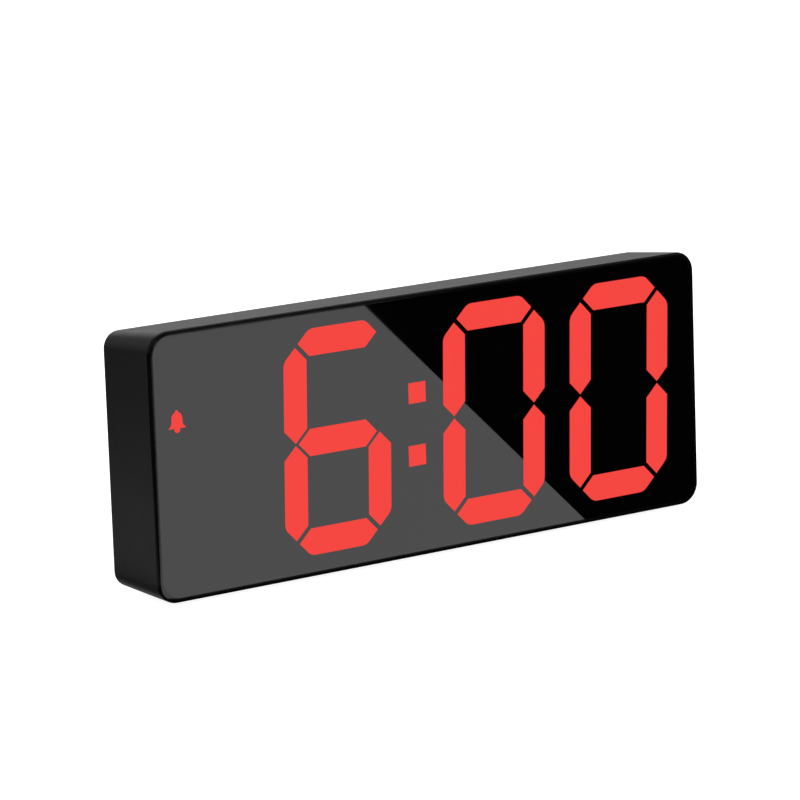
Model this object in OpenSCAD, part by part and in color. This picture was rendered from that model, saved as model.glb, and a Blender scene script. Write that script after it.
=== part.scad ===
// Desk alarm clock with a mirror face and a half-digit-and-three LED display.
// Millimetres. X runs along the width, Y from the face (-) to the back (+), Z up.
// The origin is on the surface that the feet rest on, below the middle of the clock.

/* [Case] */
// Width of the case
case_w = 160; // [150:1:200]
// Height of the case at the face
case_h = 64; // [64:1:90]
// Depth of the case without the buttons
case_d = 21; // [21:0.5:32]
// Radius of the four corners of the face
corner_r = 5.2; // [3:0.1:8]
// Radius of the four corners of the back
back_corner_r = 4; // [3:0.1:8]
// Thickness of the case walls
wall = 2; // [1.8:0.1:3]
// Radius of the rounded edge around the face
rim_round = 0.65; // [0.4:0.05:1.2]
// Flat of the rim between its rounded edge and the lens
rim_flat = 0.5; // [0.1:0.05:1]
// Radius of the rounded edge around the back
back_round = 0.6; // [0.3:0.1:1.2]
// How much lower the top is at the back
draft_top = 2.35; // [0.5:0.05:2.5]
// How much higher the underside is at the back
draft_low = 0.75; // [0.5:0.05:2]
// Width lost at the back, left and right
draft_w = 0.75; // [0.1:0.05:1]
// Width of the lip behind the lens
lip_w = 2.2; // [1.5:0.1:2.6]
// Thickness of the lip behind the lens
lip_t = 1.4; // [1:0.1:2]
// Height of the case above the table at the face
foot_h = 0.8; // [0.5:0.1:3]
// Radius of a rubber foot
foot_r = 3.5; // [2.5:0.1:4]

/* [Lens] */
// Thickness of the lens
lens_t = 1.8; // [1.2:0.1:3]
// Radius of the four corners of the lens and its seat
lens_r = 4.8; // [2:0.1:6]
// Clearance around the lens
lens_gap = 0.05; // [0.05:0.05:0.3]
// Thickness of the lens tape and the diffuser film
film_t = 0.2; // [0.1:0.05:0.4]

/* [Display] */
// Width of a digit
digit_w = 30.5; // [20:0.1:32]
// Height of a digit
digit_h = 54.1; // [40:0.1:55]
// Thickness of a segment
seg_t = 6.5; // [3:0.1:8]
// Distance from the corner of a digit's outline to a segment's tip
seg_gap = 0.8; // [0.3:0.05:1.5]
// The same for the tips that meet half way up
mid_gap = 0.25; // [0.2:0.05:1]
// Length of the rounding at the outer corners of a digit
seg_round = 1.3; // [0.3:0.1:1.5]
// Gap between two digits
digit_gap = 7.7; // [5:0.1:9]
// Lean of the digits, sideways per unit of height
slant = 0.034; // [0:0.002:0.06]
// Place of the colon, from the middle of the clock
colon_x = -5.6; // [-8:0.1:0]
// Side of a colon dot
dot_w = 5; // [3:0.1:6]
// Height of a colon dot above or below the middle of the display
dot_z = 7.6; // [5:0.1:12]
// Place of the alarm symbol, from the middle of the clock
bell_x = -73; // [-73:0.1:-68]
// Height of the alarm symbol above the middle of the display
bell_z = 10.3; // [0:0.1:14]
// Size of the alarm symbol
bell_size = 5.4; // [3:0.1:6]
// Depth of the light box
light_box_t = 3.8; // [3:0.1:6]

/* [Boards] */
// Thickness of the circuit boards
pcb_t = 1.2; // [0.8:0.1:1.6]
// Clearance between a board and the case
pcb_gap = 0.5; // [0.3:0.1:1]
// Width of the key board
key_pcb_w = 58; // [56:1:60]
// Height of the key board
key_pcb_h = 30; // [28:1:34]
// Distance from the key board to the inside of the back cover
key_stand = 5.2; // [5.2:0.1:7]

/* [Battery bay] */
// Length of a battery cell with its button
cell_l = 44.5; // [44.5:0.5:50.5]
// Diameter of a battery cell
cell_d = 10.5; // [10.5:0.1:11]
// Space between two cells
cell_gap = 0.3; // [0.2:0.1:1]
// Compressed length of a battery spring
spring_l = 4.7; // [4:0.1:6]
// Thickness of a battery contact
contact_t = 0.4; // [0.3:0.1:0.6]
// Thickness of the walls of the bay
bay_wall = 1.2; // [1:0.1:2]
// Thickness of the floor of the bay
bay_floor_t = 1; // [0.8:0.1:1.5]
// Place of the bay, from the middle of the clock
bay_x = -34; // [-36:1:-30]
// Thickness of the battery door
door_t = 1.35; // [1.2:0.05:1.8]
// Clearance around the battery door
door_gap = 0.2; // [0.1:0.05:0.4]
// Radius of the door's hinge barrel
hinge_r = 1.6; // [1.5:0.1:2]
// Radius of the door's hinge pins
pin_r = 0.8; // [0.6:0.05:0.9]
// Length of the door's hinge pins
pin_l = 1.6; // [1:0.1:2]
// Radial clearance of the hinge pins
pin_gap = 0.06; // [0.03:0.01:0.1]

/* [Back cover and controls] */
// Thickness of the back cover
cover_t = 1.8; // [1.6:0.1:2.5]
// Clearance around the back cover
cover_gap = 0.1; // [0.05:0.05:0.3]
// Radius of a button
button_r = 3; // [2.5:0.1:3.5]
// How far a button stands out of the back
button_out = 1; // [0.7:0.1:1.5]
// Distance from one button to the next
button_pitch = 12; // [10:0.5:13]
// Travel of a button
button_travel = 0.5; // [0.3:0.1:0.7]
// Clearance around a button
button_gap = 0.1; // [0.05:0.05:0.2]
// Travel of the alarm switch
slide_travel = 3; // [2:0.5:4]

/* [Fasteners] */
// Radius of a screw's thread
screw_r = 1; // [0.8:0.1:1.2]
// Radius of a screw's head
screw_head_r = 1.9; // [1.6:0.1:2.2]
// Height of a screw's head
screw_head_h = 0.9; // [0.7:0.1:1.2]
// Radius of a screw post
post_r = 2.4; // [2.2:0.1:3]

/* [Hidden] */
$fn = 48;
eps = 0.02;

// Planes from the face to the back
back_y = (case_d - button_out) / 2;
front_y = back_y - case_d;
lens_y = front_y + lens_t;
lip_y = lens_y + film_t;
wells_y = lip_y;
pcb_y = wells_y + light_box_t;
pcb_back_y = pcb_y + pcb_t;
cover_y = back_y - cover_t;
key_pcb_y = cover_y - key_stand;
door_y = back_y - door_t;

// Heights and outlines
mid_z = foot_h + case_h / 2;
disp_z = mid_z + 0.3;
back_w = case_w - 2 * draft_w;
back_h = case_h - draft_top - draft_low;
back_z = mid_z - (draft_top - draft_low) / 2;
lens_in = rim_round + rim_flat;
lens_w = case_w - 2 * (lens_in + lens_gap);
lens_h = case_h - 2 * (lens_in + lens_gap);
mouth_w = case_w - 2 * (lens_in + lip_w);
mouth_h = case_h - 2 * (lens_in + lip_w);
inner_r = max(corner_r - wall, 1);
back_inner_r = max(back_corner_r - wall, 1);
cover_w = back_w - 2 * (wall + cover_gap);
cover_h = back_h - 2 * (wall + cover_gap);
pcb_w = case_w - 2 * (wall + pcb_gap) - draft_w;
pcb_h = case_h - 2 * (wall + pcb_gap) - draft_top;

// Digits
digit_pitch = digit_w + digit_gap;
half_w = (digit_w - seg_t) / 2;
half_h = (digit_h - seg_t) / 2;
digit_1_x = colon_x - digit_pitch * 1.5 - digit_gap / 2;
digit_2_x = colon_x - digit_gap - digit_w / 2;
digit_3_x = colon_x + digit_gap + digit_w / 2;
digit_4_x = digit_3_x + digit_pitch;

// Screw posts of the case, and the board posts between the digits
case_post_x = case_w / 2 - wall - post_r - draft_w + 0.15;
case_post_z = back_h / 2 - wall - post_r - 1;
pilot_r = screw_r - 0.1;
pilot_l = 7;
board_post_r = 2;
board_post_z = pcb_h / 2 - board_post_r - 1;
board_post_x = [digit_2_x - (digit_w + digit_gap) / 2, digit_3_x + digit_pitch / 2];
post_gap = 0.3;
web_t = 1.6;

// Battery bay, for three cells one above the other
cell_count = 3;
bay_w = cell_l + spring_l + 2 * contact_t;
bay_h = cell_count * (cell_d + cell_gap) + cell_gap;
bay_floor_y = door_y - cell_d - 0.25;
hinge_block = hinge_r + door_gap;
hinge_clear = sqrt(pow(hinge_r, 2) + pow(hinge_block, 2)) + 0.15;
hinge_zone = 2 * hinge_r + 0.5 + bay_wall + door_gap;
bay_z = mid_z + (hinge_zone - bay_wall) / 2;
bay_low = bay_z - bay_h / 2;
door_low = bay_low - hinge_zone;
door_high = bay_low + bay_h + bay_wall;
hinge_y = back_y - hinge_r;
hinge_z = door_low + door_gap + hinge_r;
pocket_w = bay_w + 2 * bay_wall;
hinge_w = pocket_w - 2 * (pin_l + 1.6);
cell_y = bay_floor_y + 0.12 + cell_d / 2;
lead_r = 0.6;
coil_turns = 4;
coil_steps = 16;
wire_r = 0.35;
wire_sides = 6;

// Key board and what stands on it
key_x = 42;
key_z = mid_z;
button_row_z = key_z + 7;
button_x = [for (i = [0:3]) key_x + (i - 1.5) * button_pitch];
flange_t = 0.7;
flange_r = button_r + 0.8;
flange_gap = 0.05;
switch_w = 6;
switch_h = 3.5;
stem_r = 1.6;
socket_w = 8;
socket_h = 3;
socket_x = key_x + 12;
low_row_z = key_z - 7;
slider_x = key_x - 14;
knob_w = 2.6;
knob_h = 2.2;
key_post_x = key_pcb_w / 2 - 3;
key_post_z = key_pcb_h / 2 - 3;
key_post_r = 1.8;
buzzer_x = 2;
buzzer_z = mid_z + 14;
buzzer_r = 6;

// A flat outline with round corners
module round_rect(w, h, r) {
    square([w - 2 * r, h], center = true);
    square([w, h - 2 * r], center = true);
    for (sx = [-1, 1], sy = [-1, 1])
        translate([sx * (w / 2 - r), sy * (h / 2 - r)]) circle(r);
}

// Stands a flat outline up in the X-Z plane, between two depths
module between(y0, y1, x = 0, z = 0) {
    translate([x, y1, z]) rotate([90, 0, 0]) linear_extrude(y1 - y0) children();
}

module plate(w, h, r, y0, y1, x = 0, z = mid_z) {
    between(y0, y1, x, z) round_rect(w, h, r);
}

module block(w, h, y0, y1, x, z) {
    between(y0, y1, x, z) square([w, h], center = true);
}

// A round bar along Y
module rod(r, y0, y1, x, z) {
    translate([x, y1, z]) rotate([90, 0, 0]) cylinder(r = r, h = y1 - y0);
}

// A round bar along X
module axle(r, x0, x1, y, z) {
    translate([x0, y, z]) rotate([0, 90, 0]) cylinder(r = r, h = x1 - x0);
}

module screw(x, z, head_y, length, up = 1) {
    translate([x, head_y, z]) rotate([up * 90, 0, 0]) difference() {
        union() {
            cylinder(r = screw_head_r, h = screw_head_h);
            cylinder(r = screw_r, h = length);
        }
        for (a = [0, 90]) rotate([0, 0, a])
            translate([-screw_r, -0.25, -eps]) cube([2 * screw_r, 0.5, screw_head_h * 0.6]);
    }
}

// Display outlines. A segment runs from one corner of the digit's grid to the next.
function grid(p) = [p[0] * half_w, p[1] * half_h];
function leaned(p) = [p[0] + slant * p[1], p[1]];
function shoulder(v, d1, d2, round) =
    round ? [for (k = [0:0.2:1]) pow(1 - k, 2) * (v - d1 * seg_round) + 2 * k * (1 - k) * v
             + k * k * (v + d2 * seg_round)] : [v];
// The tips are square, and the shoulders on a digit's outer corners are round.
// side is the side of the line from a to b that faces out of the digit, 0 for none.
function segment(a, b, side) =
    let (u = (b - a) / norm(b - a), n = [-u[1], u[0]], t = seg_t / 2, flat = a[1] == b[1],
         p = a + u * (flat || a[1] != 0 ? seg_gap : mid_gap),
         q = b - u * (flat || b[1] != 0 ? seg_gap : mid_gap),
         up = (u + n) / sqrt(2), down = (u - n) / sqrt(2),
         points = concat(
             [p], shoulder(p + (u + n) * t, up, u, side > 0 && a[1] != 0),
             shoulder(q - (u - n) * t, u, down, side > 0 && b[1] != 0),
             [q], shoulder(q - (u + n) * t, -up, -u, side < 0 && b[1] != 0),
             shoulder(p + (u - n) * t, -u, -down, side < 0 && a[1] != 0)))
    [for (c = points) leaned(c)];
seg_ends = [
    ["a", [-1, 1], [1, 1], 1], ["b", [1, 1], [1, 0], 1], ["c", [1, 0], [1, -1], 1],
    ["d", [-1, -1], [1, -1], -1], ["e", [-1, 0], [-1, -1], -1], ["f", [-1, 1], [-1, 0], -1],
    ["g", [-1, 0], [1, 0], 0]
];
function has(letters, c) = len(search(c, letters)) > 0;

module segments(x, letters) {
    for (s = seg_ends) if (has(letters, s[0]))
        translate([x, 0]) polygon(segment(grid(s[1]), grid(s[2]), s[3]));
}

module colon_dots() {
    for (s = [-1, 1]) translate([colon_x + slant * s * dot_z, s * dot_z])
        square(dot_w, center = true);
}

module bell_shape() {
    u = bell_size / 10;
    translate([bell_x, bell_z]) {
        translate([0, 1.4 * u]) circle(2.7 * u);
        polygon([[-2.7, 1.4], [-2.9, -1.2], [-4.4, -3], [4.4, -3], [2.9, -1.2], [2.7, 1.4]] * u);
        translate([0, 4.2 * u]) circle(0.8 * u);
        translate([0, -3.4 * u]) circle(1.5 * u);
    }
}

module lit_2() { segments(digit_2_x, "acdefg"); }
module lit_3() { segments(digit_3_x, "abcdef"); }
module lit_4() { segments(digit_4_x, "abcdef"); }
module dark() {
    segments(digit_1_x, "bc");
    segments(digit_2_x, "b");
    segments(digit_3_x, "g");
    segments(digit_4_x, "g");
}

module display(y0, y1) {
    between(y0, y1, 0, disp_z) {
        lit_2();
        lit_3();
        lit_4();
        dark();
        colon_dots();
        bell_shape();
    }
}

// Case
module case_outside() {
    hull() {
        for (a = [0:22.5:90]) {
            rim = rim_round * (1 - sin(a));
            back = back_round * (1 - sin(a));
            y0 = front_y + rim_round * (1 - cos(a));
            y1 = back_y - back_round * (1 - cos(a));
            plate(case_w - 2 * rim, case_h - 2 * rim, corner_r - rim, y0, y0 + eps);
            plate(back_w - 2 * back, back_h - 2 * back, back_corner_r - back, y1 - eps, y1, 0, back_z);
        }
    }
}

module case_inside() {
    hull() {
        plate(case_w - 2 * wall, case_h - 2 * wall, inner_r, lip_y + lip_t, lip_y + lip_t + eps);
        plate(back_w - 2 * wall, back_h - 2 * wall, back_inner_r, back_y, back_y + 1, 0, back_z);
    }
}

module case_posts(r, y0, y1) {
    for (sx = [-1, 1], sz = [-1, 1])
        rod(r, y0, y1, sx * case_post_x, back_z + sz * case_post_z);
}

module board_posts(r, y0, y1) {
    for (x = board_post_x, sz = [-1, 1]) rod(r, y0, y1, x, mid_z + sz * board_post_z);
}

// Notches that let a board or the light box past the case posts
module post_notches(y0, y1) {
    r = post_r + post_gap;
    for (sx = [-1, 1], sz = [-1, 1]) {
        rod(r, y0, y1, sx * case_post_x, back_z + sz * case_post_z);
        block(3 * r, 2 * r, y0, y1, sx * (case_post_x + 1.5 * r), back_z + sz * case_post_z);
    }
}

module main_shell() {
    color([0.1, 0.1, 0.105]) difference() {
        union() {
            difference() {
                case_outside();
                case_inside();
                plate(lens_w + 2 * lens_gap, lens_h + 2 * lens_gap, lens_r, front_y - 1, lip_y);
                plate(mouth_w, mouth_h, 1.5, front_y, lip_y + lip_t + 1);
            }
            intersection() {
                case_outside();
                union() {
                    case_posts(post_r, lip_y + lip_t - eps, cover_y);
                    for (sx = [-1, 1], sz = [-1, 1])
                        block(case_w / 2 - case_post_x, web_t, lip_y + lip_t - eps, cover_y,
                              sx * (case_post_x + case_w / 2) / 2, back_z + sz * case_post_z);
                    board_posts(board_post_r, lip_y + lip_t - eps, pcb_y);
                    for (x = board_post_x, sz = [-1, 1])
                        block(web_t, case_h / 2 - board_post_z, lip_y + lip_t - eps, pcb_y, x,
                              mid_z + sz * (board_post_z + case_h / 2) / 2);
                }
            }
        }
        case_posts(pilot_r, cover_y - pilot_l, cover_y + 1);
        board_posts(pilot_r, lip_y + lip_t + 0.4, pcb_y + 1);
    }
}

module rubber_feet() {
    color([0.14, 0.14, 0.14]) difference() {
        for (sx = [-1, 1], y = [front_y + 8, back_y - 4.8])
            translate([sx * (case_w / 2 - 20), y, 0]) cylinder(r = foot_r, h = foot_h + draft_low + 1);
        case_outside();
    }
}

// Face and display
module front_lens() {
    color([0.05, 0.05, 0.055]) difference() {
        plate(lens_w, lens_h, lens_r - lens_gap, front_y, lens_y);
        display(front_y - 1, lens_y + 1);
    }
}

module lens_tape() {
    color([0.25, 0.25, 0.27]) difference() {
        plate(lens_w, lens_h, lens_r - lens_gap, lens_y, lip_y);
        plate(mouth_w, mouth_h, 1.5, lens_y - 1, lip_y + 1);
    }
}

module diffuser_film() {
    color([0.92, 0.92, 0.9])
        plate(mouth_w - 2 * lens_gap, mouth_h - 2 * lens_gap, 1.4, lens_y, lip_y);
}

module digit_2_windows() { color([0.95, 0.27, 0.25]) between(front_y, lens_y, 0, disp_z) lit_2(); }
module digit_3_windows() { color([0.95, 0.27, 0.25]) between(front_y, lens_y, 0, disp_z) lit_3(); }
module digit_4_windows() { color([0.95, 0.27, 0.25]) between(front_y, lens_y, 0, disp_z) lit_4(); }
module colon_windows() { color([0.95, 0.27, 0.25]) between(front_y, lens_y, 0, disp_z) colon_dots(); }
module bell_window() { color([0.95, 0.27, 0.25]) between(front_y, lens_y, 0, disp_z) bell_shape(); }
module dark_windows() { color([0.06, 0.06, 0.065]) between(front_y, lens_y, 0, disp_z) dark(); }

module light_box() {
    color([0.93, 0.93, 0.92]) difference() {
        plate(mouth_w - 2 * pcb_gap, mouth_h - 2 * lens_gap, 1.4, wells_y, pcb_y);
        display(wells_y - 1, pcb_y + 1);
        post_notches(lip_y + lip_t - 0.2, pcb_y + 1);
        board_posts(board_post_r + post_gap, lip_y + lip_t - 0.2, pcb_y + 1);
        for (x = board_post_x, sz = [-1, 1])
            block(web_t + 2 * post_gap, case_h / 2 - board_post_z, lip_y + lip_t - 0.2, pcb_y + 1, x,
                  mid_z + sz * (board_post_z + case_h / 2) / 2);
    }
}

module display_board() {
    color([0.1, 0.32, 0.18]) difference() {
        plate(pcb_w, pcb_h, 1.5, pcb_y, pcb_back_y);
        post_notches(pcb_y - 1, pcb_back_y + 1);
        board_posts(screw_r + 0.15, pcb_y - 1, pcb_back_y + 1);
    }
}

// Light-emitting diodes, two to a segment and one to a dot
module led(x, z) { block(1.6, 1.6, pcb_y - 0.7, pcb_y, x, disp_z + z); }

module digit_leds(x, letters) {
    for (s = seg_ends) if (has(letters, s[0]))
        for (k = [0.3, 0.7]) {
            p = leaned(grid(s[1]) * (1 - k) + grid(s[2]) * k);
            led(x + p[0], p[1]);
        }
}

module display_leds() {
    color([0.9, 0.85, 0.7]) {
        digit_leds(digit_1_x, "bc");
        for (x = [digit_2_x, digit_3_x, digit_4_x]) digit_leds(x, "abcdefg");
        for (s = [-1, 1]) led(colon_x, s * dot_z);
        led(bell_x, bell_z);
    }
}

module board_screws() {
    color([0.75, 0.75, 0.77]) for (x = board_post_x, sz = [-1, 1])
        screw(x, mid_z + sz * board_post_z, pcb_back_y + screw_head_h,
              screw_head_h + pcb_t + light_box_t - lip_t - 0.6);
}

// A chip with gull-wing legs along its two long sides
module chip(w, h, t, legs, x, z) {
    block(w, h, pcb_back_y + 0.1, pcb_back_y + t, x, z);
    pitch = (w - 1) / (legs - 1);
    for (i = [0:legs - 1], s = [-1, 1])
        block(0.4, 1.4, pcb_back_y, pcb_back_y + 0.6, x - w / 2 + 0.5 + i * pitch, z + s * (h / 2 + 0.5));
}

module driver_chip() { color([0.16, 0.16, 0.17]) chip(17.9, 7.5, 2.3, 14, board_post_x[1] + 15, mid_z + 21); }
module clock_chip() { color([0.16, 0.16, 0.17]) chip(10.2, 5.3, 1.8, 10, buzzer_x + 2, mid_z); }

module crystal() {
    color([0.8, 0.8, 0.82]) plate(10.5, 4.2, 2, pcb_back_y, pcb_back_y + 3.5, buzzer_x + 2, mid_z - 9);
}

module capacitors() {
    color([0.2, 0.22, 0.4]) for (i = [0, 1])
        rod(2.5, pcb_back_y, pcb_back_y + 5, buzzer_x - 3 + 8 * i, mid_z - 18);
}

module resistors() {
    color([0.12, 0.12, 0.12]) for (i = [0:9])
        block(1.2, 2, pcb_back_y, pcb_back_y + 0.5, key_x - 18 + 4 * i, mid_z - 21);
}

module buzzer() {
    color([0.08, 0.08, 0.08]) difference() {
        rod(buzzer_r, pcb_back_y, pcb_back_y + 6, buzzer_x, buzzer_z);
        rod(1.2, pcb_back_y + 4, pcb_back_y + 7, buzzer_x, buzzer_z);
    }
}

module link_socket() {
    color([0.1, 0.1, 0.1]) block(16, 2.5, pcb_back_y, key_pcb_y - pcb_t - 0.3, key_x + 2, key_z - 0.5);
}

module link_pins() {
    color([0.85, 0.7, 0.3]) for (i = [0:5])
        block(0.64, 0.64, key_pcb_y - pcb_t - 0.3, key_pcb_y + 1, key_x + 2 + (i - 2.5) * 2.54, key_z - 0.5);
}

// Key board
module key_posts(r, y0, y1) {
    for (sx = [-1, 1], sz = [-1, 1]) rod(r, y0, y1, key_x + sx * key_post_x, key_z + sz * key_post_z);
}

module key_board() {
    color([0.1, 0.32, 0.18]) difference() {
        plate(key_pcb_w, key_pcb_h, 1.5, key_pcb_y - pcb_t, key_pcb_y, key_x, key_z);
        key_posts(screw_r + 0.15, key_pcb_y - pcb_t - 1, key_pcb_y + 1);
        for (i = [0:5])
            block(0.64, 0.64, key_pcb_y - pcb_t - 1, key_pcb_y + 1, key_x + 2 + (i - 2.5) * 2.54, key_z - 0.5);
    }
}

module key_board_screws() {
    color([0.75, 0.75, 0.77]) for (sx = [-1, 1], sz = [-1, 1])
        screw(key_x + sx * key_post_x, key_z + sz * key_post_z, key_pcb_y - pcb_t - screw_head_h,
              screw_head_h + pcb_t + key_stand - 1.2, -1);
}

module key_switches() {
    color([0.18, 0.18, 0.19]) for (x = button_x) difference() {
        union() {
            block(switch_w, switch_w, key_pcb_y, key_pcb_y + switch_h - 0.3, x, button_row_z);
            block(switch_w - 1, switch_w - 1, key_pcb_y, key_pcb_y + switch_h, x, button_row_z);
        }
        rod(stem_r + 0.08, key_pcb_y + 1.5, key_pcb_y + switch_h + 1, x, button_row_z);
    }
}

module stem(i) {
    color([0.9, 0.9, 0.88])
        rod(stem_r, key_pcb_y + 1.6 + button_travel, cover_y - flange_gap - flange_t,
            button_x[i], button_row_z);
}
module set_stem() { stem(0); }
module mode_stem() { stem(1); }
module up_stem() { stem(2); }
module down_stem() { stem(3); }

// A push button with a dished top and a flange that keeps it in the cover
module button(i) {
    color([0.12, 0.12, 0.125]) difference() {
        union() {
            rod(button_r, cover_y - flange_gap - flange_t, back_y + button_out - 0.4,
                button_x[i], button_row_z);
            translate([button_x[i], back_y + button_out, button_row_z]) rotate([90, 0, 0])
                cylinder(r1 = button_r - 0.4, r2 = button_r, h = 0.4);
            rod(flange_r, cover_y - flange_gap - flange_t, cover_y - flange_gap,
                button_x[i], button_row_z);
        }
        translate([button_x[i], back_y + button_out + 8.6, button_row_z]) sphere(r = 8.9);
    }
}
module set_button() { button(0); }
module mode_button() { button(1); }
module up_button() { button(2); }
module down_button() { button(3); }

module alarm_switch_body() {
    color([0.75, 0.75, 0.77]) difference() {
        block(8.6 + slide_travel, 4, key_pcb_y, key_pcb_y + 3.4, slider_x, low_row_z);
        block(knob_w - 0.6 + slide_travel + 0.2, 1.7, key_pcb_y + 1, key_pcb_y + 4, slider_x, low_row_z);
    }
}

module alarm_slider() {
    color([0.14, 0.14, 0.145]) {
        x = slider_x - slide_travel / 2;
        block(knob_w - 0.6, 1.5, key_pcb_y + 1.2, cover_y, x, low_row_z);
        difference() {
            block(knob_w, knob_h, key_pcb_y + 3.7, back_y + 0.5, x, low_row_z);
            for (s = [-1, 0, 1]) block(0.3, knob_h + 1, back_y + 0.2, back_y + 1, x + 0.8 * s, low_row_z);
        }
    }
}

module usb_shell() {
    color([0.75, 0.75, 0.77]) difference() {
        plate(socket_w, socket_h, 0.9, key_pcb_y, back_y - 0.3, socket_x, low_row_z);
        plate(socket_w - 0.7, socket_h - 0.7, 0.6, key_pcb_y + 0.8, back_y + 1, socket_x, low_row_z);
    }
}

module usb_tongue() {
    color([0.1, 0.1, 0.1]) block(4.4, 0.7, key_pcb_y + 0.8, back_y - 1, socket_x, low_row_z + 0.3);
}

// Back cover with the battery bay
module bay_space(y1) {
    block(bay_w, bay_h, bay_floor_y, y1, bay_x, bay_z);
}

// The shape that the battery door fills, grown by gap
module door_outline(gap) {
    wide_low = hinge_z + hinge_clear - gap;
    wide_high = door_high - door_gap + gap;
    strip_high = wide_low + 1;
    translate([bay_x, 0]) {
        translate([-pocket_w / 2 + door_gap - gap, wide_low])
            square([pocket_w - 2 * (door_gap - gap), wide_high - wide_low]);
        translate([-hinge_w / 2 - gap, hinge_z])
            square([hinge_w + 2 * gap, strip_high - hinge_z]);
    }
}

module back_cover() {
    color([0.1, 0.1, 0.105]) difference() {
        union() {
            plate(cover_w, cover_h, back_inner_r, cover_y, back_y, 0, back_z);
            between(bay_floor_y - bay_floor_t, cover_y + eps, bay_x, 0)
                translate([-pocket_w / 2, door_low - bay_wall])
                    square([pocket_w, door_high - door_low + bay_wall]);
            key_posts(key_post_r, key_pcb_y, cover_y + eps);
        }
        bay_space(back_y + 1);
        // Pocket for the door, with room for its corners to swing out
        block(pocket_w, door_high - hinge_z - hinge_block, door_y - 0.05, back_y + 1, bay_x,
              (door_high + hinge_z + hinge_block) / 2);
        block(hinge_w + 2 * door_gap, 3 * hinge_r, door_y - 0.05, back_y + 1, bay_x,
              door_low + 1.5 * hinge_r);
        // Groove for the hinge barrel and sockets for its pins
        block(hinge_w + 2 * door_gap, 2 * hinge_r + 0.2 + door_gap, hinge_y - hinge_r - 0.25,
              back_y + 1, bay_x, door_low + (2 * hinge_r + 0.2 + door_gap) / 2);
        axle(pin_r + pin_gap, bay_x - hinge_w / 2 - pin_l - 0.2, bay_x + hinge_w / 2 + pin_l + 0.2,
             hinge_y, hinge_z);
        // Finger notch above the door
        translate([bay_x, back_y + 4.9, door_high]) sphere(r = 6);
        // Screw holes with seats for the heads
        case_posts(screw_r + 0.2, cover_y - 1, back_y + 1);
        case_posts(screw_head_r + 0.2, back_y - screw_head_h - 0.1, back_y + 1);
        key_posts(pilot_r, key_pcb_y - 1, cover_y);
        for (x = button_x) rod(button_r + button_gap, cover_y - 1, back_y + 1, x, button_row_z);
        block(knob_w + slide_travel + 0.6, knob_h + 0.4, cover_y - 1, back_y + 1, slider_x, low_row_z);
        plate(socket_w + 0.4, socket_h + 0.4, 1, cover_y - 1, back_y + 1, socket_x, low_row_z);
        // Sound holes over the buzzer
        rod(0.6, cover_y - 1, back_y + 1, buzzer_x, buzzer_z);
        for (a = [0:60:300])
            rod(0.6, cover_y - 1, back_y + 1, buzzer_x + 3 * cos(a), buzzer_z + 3 * sin(a));
        // Holes in the bay's end walls for the two leads
        axle(lead_r + 0.1, bay_x - bay_w / 2 - bay_wall - 1, bay_x - bay_w / 2 + 1, cell_y, cell_z(0));
        axle(lead_r + 0.1, bay_x + bay_w / 2 - 1, bay_x + bay_w / 2 + bay_wall + 1, cell_y,
             cell_z(cell_count - 1));
    }
}

module battery_door() {
    color([0.1, 0.1, 0.105]) difference() {
        union() {
            between(door_y, back_y, 0, 0) door_outline(0);
            axle(hinge_r, bay_x - hinge_w / 2, bay_x + hinge_w / 2, hinge_y, hinge_z);
            axle(pin_r, bay_x - hinge_w / 2 - pin_l, bay_x + hinge_w / 2 + pin_l, hinge_y, hinge_z);
        }
        for (i = [0:4])
            block(16 - 2.2 * i, 0.6, back_y - 0.35, back_y + 1, bay_x, door_high - 4 - 1.6 * i);
    }
}

module case_screws() {
    color([0.16, 0.16, 0.17]) for (sx = [-1, 1], sz = [-1, 1])
        screw(sx * case_post_x, back_z + sz * case_post_z, back_y - 0.1, 8);
}

// Battery cells and contacts
function cell_z(i) = bay_z + bay_h / 2 - cell_gap - cell_d / 2 - i * (cell_d + cell_gap);
function cell_dir(i) = i % 2 == 0 ? 1 : -1;

// The positive end points to -X in the first and last cell, and to +X between them
module cell(i) {
    nub_l = 0.9;
    translate([bay_x, cell_y, cell_z(i)]) mirror([cell_dir(i) < 0 ? 1 : 0, 0, 0])
        translate([-bay_w / 2 + contact_t, 0, 0]) rotate([0, 90, 0]) {
            cylinder(r = 1.9, h = nub_l + eps);
            translate([0, 0, nub_l]) cylinder(r = cell_d / 2, h = cell_l - nub_l);
        }
}
module battery_top() { color([0.25, 0.45, 0.7]) cell(0); }
module battery_middle() { color([0.25, 0.45, 0.7]) cell(1); }
module battery_bottom() { color([0.25, 0.45, 0.7]) cell(2); }

// A conical coil of round wire along X, as rings swept by a polyhedron
function coil_at(t, l) =
    let (r = 3.4 - 1.2 * t, a = 360 * coil_turns * t)
    [wire_r + (l - 2 * wire_r) * t, r * cos(a), r * sin(a)];
module coil(l) {
    n = coil_turns * coil_steps;
    pts = [for (i = [0:n], k = [0:wire_sides - 1])
        let (t = i / n, p = coil_at(t, l), a = 360 * coil_turns * t, b = 360 * k / wire_sides,
             out = [0, cos(a), sin(a)])
        p + wire_r * (cos(b) * out + sin(b) * [1, 0, 0])];
    faces = concat(
        [[for (k = [0:wire_sides - 1]) k]],
        [[for (k = [wire_sides - 1:-1:0]) n * wire_sides + k]],
        [for (i = [0:n - 1], k = [0:wire_sides - 1])
            let (k2 = (k + 1) % wire_sides)
            [i * wire_sides + k, (i + 1) * wire_sides + k, (i + 1) * wire_sides + k2, i * wire_sides + k2]]);
    polyhedron(pts, faces);
}

module battery_springs() {
    color([0.8, 0.8, 0.82]) for (i = [0:cell_count - 1])
        translate([bay_x, cell_y, cell_z(i)]) mirror([cell_dir(i) > 0 ? 1 : 0, 0, 0])
            translate([-bay_w / 2 + contact_t, 0, 0]) coil(spring_l);
}

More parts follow.
